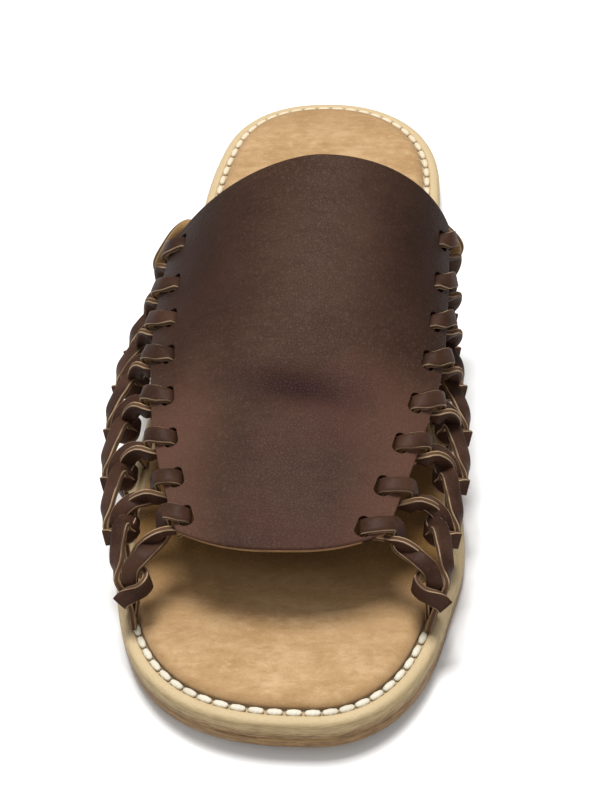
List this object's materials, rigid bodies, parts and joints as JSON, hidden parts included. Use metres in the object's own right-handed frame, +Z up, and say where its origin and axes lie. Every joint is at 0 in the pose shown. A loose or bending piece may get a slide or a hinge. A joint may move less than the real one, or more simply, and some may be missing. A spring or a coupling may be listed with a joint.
{
  "type": "slide sandal",
  "caption": "Open-toe leather slide sandal for a right foot: an arched instep panel laced to a flat stitched sole by woven leather strips on both sides.",
  "frame": {"origin": "on the floor, below the middle of the sandal's box", "axes": "+Z up from the floor, -Y towards the toe, +X towards the medial side of the right foot"},
  "size_m": [0.1078, 0.2693, 0.0757],
  "materials": {
    "outsole_leather": "burnished sole leather, reddish brown",
    "midsole_leather": "natural vegetable-tanned sole leather, edge burnished",
    "insole_suede": "tan suede, mottled nap",
    "vamp_leather": "smooth dark brown leather, satin",
    "strip_leather": "dark brown leather strips with raw tan cut edges",
    "welt_thread": "waxed off-white thread"
  },
  "bodies": {
    "root": {"outsole": "outsole_leather", "midsole": "midsole_leather", "insole": "insole_suede", "vamp_panel": "vamp_leather", "lacing_lateral": "strip_leather", "lacing_medial": "strip_leather"}
  },
  "joints": []
}
